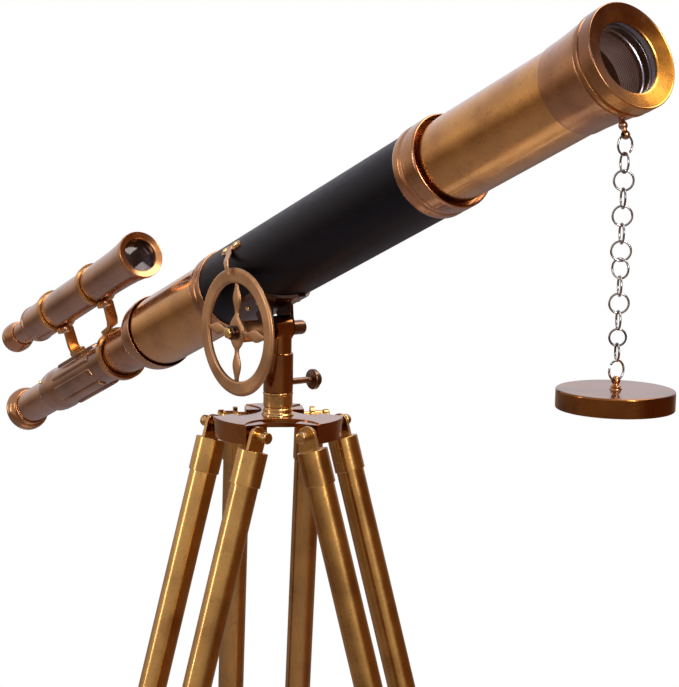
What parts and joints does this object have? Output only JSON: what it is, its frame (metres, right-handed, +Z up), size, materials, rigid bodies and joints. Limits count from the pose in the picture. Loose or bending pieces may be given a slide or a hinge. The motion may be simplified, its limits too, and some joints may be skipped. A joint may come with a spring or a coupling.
{
  "type": "telescope on tripod",
  "caption": "Brass and leather refracting telescope with a finder, on a handwheel mount and an extending tripod, its lens cap hanging on a chain.",
  "frame": {"origin": "on the floor, on the upright axis of the tripod", "axes": "+Z up, +X along the telescope's heading, -Y towards the handwheel"},
  "size_m": [0.98, 0.5995, 1.6063],
  "materials": {
    "dark_brass": "dark antique lacquer, polished",
    "leg_brass": "golden antique lacquer, polished",
    "copper_brass": "copper-toned antique lacquer, polished",
    "tube_brass": "brown antique lacquer, polished",
    "bright_brass": "bright polished",
    "leather": "smooth black satin",
    "glass": "clear, coated",
    "steel_wire": "grey drawn wire"
  },
  "bodies": {
    "tripod": {"tripod_head": "dark_brass", "head_socket": "dark_brass", "hinge_pins": "leg_brass"},
    "leg_1": {"leg_tubes_1": "leg_brass", "leg_ferrules_1": "leg_brass", "leg_clamp_1": "leg_brass"},
    "lower_leg_1": {"lower_tube_1": "leg_brass", "leg_guide_1": "leg_brass", "foot_1": "dark_brass"},
    "leg_knob_1": {"leg_thumbscrew_1": "dark_brass"},
    "leg_2": {"leg_tubes_2": "leg_brass", "leg_ferrules_2": "leg_brass", "leg_clamp_2": "leg_brass"},
    "lower_leg_2": {"lower_tube_2": "leg_brass", "leg_guide_2": "leg_brass", "foot_2": "dark_brass"},
    "leg_knob_2": {"leg_thumbscrew_2": "dark_brass"},
    "leg_3": {"leg_tubes_3": "leg_brass", "leg_ferrules_3": "leg_brass", "leg_clamp_3": "leg_brass"},
    "lower_leg_3": {"lower_tube_3": "leg_brass", "leg_guide_3": "leg_brass", "foot_3": "dark_brass"},
    "leg_knob_3": {"leg_thumbscrew_3": "dark_brass"},
    "mount": {"stem": "dark_brass", "pivot_bolt": "bright_brass", "pivot_nut": "dark_brass", "handwheel_nut": "bright_brass"},
    "azimuth_knob": {"azimuth_thumbscrew": "dark_brass"},
    "wheel": {"handwheel": "copper_brass"},
    "telescope": {"saddle": "dark_brass", "strap": "copper_brass", "screws": "bright_brass", "main_tube": "tube_brass", "leather_cover": "leather", "front_collar": "copper_brass", "rear_collar": "copper_brass", "front_tube": "tube_brass", "dew_sleeve": "copper_brass", "objective_flange": "copper_brass", "objective_lens": "glass", "lens_retainer": "tube_brass", "rear_tube": "tube_brass", "taper_sleeve": "copper_brass", "focus_housing": "tube_brass", "finder_tube": "tube_brass", "finder_lens": "glass", "finder_brackets": "copper_brass", "chain_stud": "copper_brass"},
    "eyepiece": {"draw_tube": "tube_brass", "eyepiece_cup": "copper_brass", "eye_lens": "glass", "erector_lenses": "glass"},
    "finder_ocular": {"finder_draw_tube": "tube_brass", "finder_eyepiece": "copper_brass", "finder_eye_lens": "glass"},
    "chain_top": {"chain_ring": "steel_wire"},
    "chain": {"chain_links": "steel_wire"},
    "cap": {"cap_stud": "copper_brass", "lens_cap": "copper_brass"}
  },
  "joints": [
    {"name": "leg_fold_1", "type": "hinge", "parent": "tripod", "child": "leg_1", "pos_m": [0, -0.046, 1.241], "axis": [-1, 0, 0], "range_deg": [-15, 0]},
    {"name": "leg_extend_1", "type": "slide", "parent": "leg_1", "child": "lower_leg_1", "axis": [0, -0.2672, -0.9636], "range_m": [-0.34, 0.014]},
    {"name": "leg_screw_turn_1", "type": "hinge", "parent": "leg_1", "child": "leg_knob_1", "pos_m": [0, -0.22802, 0.62732], "axis": [0, -0.9636, 0.2672], "range_deg": [0, 360]},
    {"name": "leg_fold_2", "type": "hinge", "parent": "tripod", "child": "leg_2", "pos_m": [0.03984, 0.023, 1.241], "axis": [0.5, -0.866, 0], "range_deg": [-15, 0]},
    {"name": "leg_extend_2", "type": "slide", "parent": "leg_2", "child": "lower_leg_2", "axis": [0.2314, 0.1336, -0.9636], "range_m": [-0.34, 0.014]},
    {"name": "leg_screw_turn_2", "type": "hinge", "parent": "leg_2", "child": "leg_knob_2", "pos_m": [0.19747, 0.11401, 0.62732], "axis": [0.8345, 0.4818, 0.2672], "range_deg": [0, 360]},
    {"name": "leg_fold_3", "type": "hinge", "parent": "tripod", "child": "leg_3", "pos_m": [-0.03984, 0.023, 1.241], "axis": [0.5, 0.866, 0], "range_deg": [-15, 0]},
    {"name": "leg_extend_3", "type": "slide", "parent": "leg_3", "child": "lower_leg_3", "axis": [-0.2314, 0.1336, -0.9636], "range_m": [-0.34, 0.014]},
    {"name": "leg_screw_turn_3", "type": "hinge", "parent": "leg_3", "child": "leg_knob_3", "pos_m": [-0.19747, 0.11401, 0.62732], "axis": [-0.8345, 0.4818, 0.2672], "range_deg": [0, 360]},
    {"name": "azimuth", "type": "hinge", "parent": "tripod", "child": "mount", "pos_m": [0, 0, 1.271], "axis": [0, 0, 1], "continuous": true},
    {"name": "azimuth_screw_turn", "type": "hinge", "parent": "mount", "child": "azimuth_knob", "pos_m": [0, 0.02, 1.279], "axis": [0, 1, 0], "range_deg": [0, 360]},
    {"name": "handwheel_turn", "type": "hinge", "parent": "mount", "child": "wheel", "pos_m": [0, -0.045, 1.3285], "axis": [0, -1, 0], "range_deg": [-180, 180]},
    {"name": "altitude", "type": "hinge", "parent": "mount", "child": "telescope", "pos_m": [0, 0, 1.3285], "axis": [0, -1, 0], "range_deg": [-38, 32]},
    {"name": "focus", "type": "slide", "parent": "telescope", "child": "eyepiece", "axis": [-0.9205, 0, -0.3907], "range_m": [-0.055, 0.03]},
    {"name": "finder_focus", "type": "slide", "parent": "telescope", "child": "finder_ocular", "axis": [-0.9205, 0, -0.3907], "range_m": [-0.02, 0.02]},
    {"name": "chain_plumb", "type": "hinge", "parent": "telescope", "child": "chain_top", "pos_m": [0.42062, 0, 1.51486], "axis": [0, -1, 0], "range_deg": [-40, 45]},
    {"name": "chain_sway", "type": "hinge", "parent": "chain_top", "child": "chain", "pos_m": [0.42062, 0, 1.50251], "axis": [1, 0, 0], "range_deg": [-35, 35]},
    {"name": "cap_tip", "type": "hinge", "parent": "chain", "child": "cap", "pos_m": [0.42062, 0, 1.34161], "axis": [0, 1, 0], "range_deg": [-30, 30]}
  ],
  "couplings": [
    {"joint": "chain_plumb", "follows": "altitude", "ratio": -1}
  ]
}
